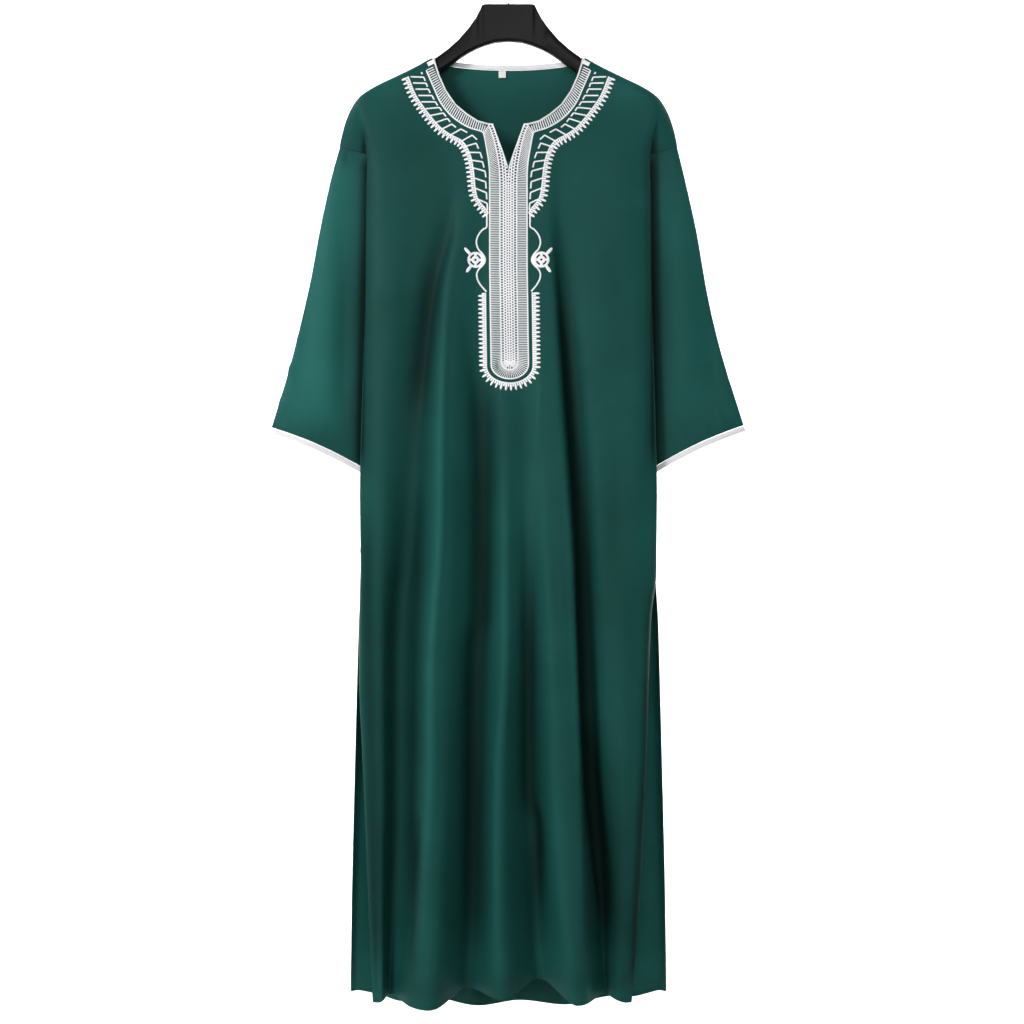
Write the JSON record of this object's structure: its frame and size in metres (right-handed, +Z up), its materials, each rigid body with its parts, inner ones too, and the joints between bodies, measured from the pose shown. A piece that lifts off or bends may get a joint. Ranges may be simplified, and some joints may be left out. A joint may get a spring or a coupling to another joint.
{
  "type": "thobe on a shoulder hanger",
  "caption": "Long green thobe with wide short sleeves, side slits and white neck embroidery, hanging on a broad black hanger with a wire hook.",
  "frame": {"origin": "underside of the hook's crown, where a rail carries the hanger", "axes": "+Z up, -Y the garment's front, +X the viewer's right when looking at the front"},
  "size_m": [0.6923, 0.1644, 1.5196],
  "materials": {
    "cloth": "smooth deep green cloth with a soft satin sheen",
    "white_binding": "white woven binding, matt",
    "embroidery_thread": "white twisted embroidery thread with a slight sheen",
    "black_plastic": "black moulded plastic, satin",
    "steel_wire": "plated steel wire, bright"
  },
  "bodies": {
    "root": {"front": "cloth", "back": "cloth", "sleeve_left": "cloth", "sleeve_right": "cloth", "cuff_binding_left": "white_binding", "cuff_binding_right": "white_binding", "neck_binding": "white_binding", "size_label": "white_binding", "neck_embroidery_left": "embroidery_thread", "neck_embroidery_right": "embroidery_thread", "neck_border_left": "embroidery_thread", "neck_border_right": "embroidery_thread", "medallion_left": "embroidery_thread", "medallion_right": "embroidery_thread", "placket_border": "embroidery_thread", "hanger": "black_plastic", "hook": "steel_wire"}
  },
  "joints": []
}
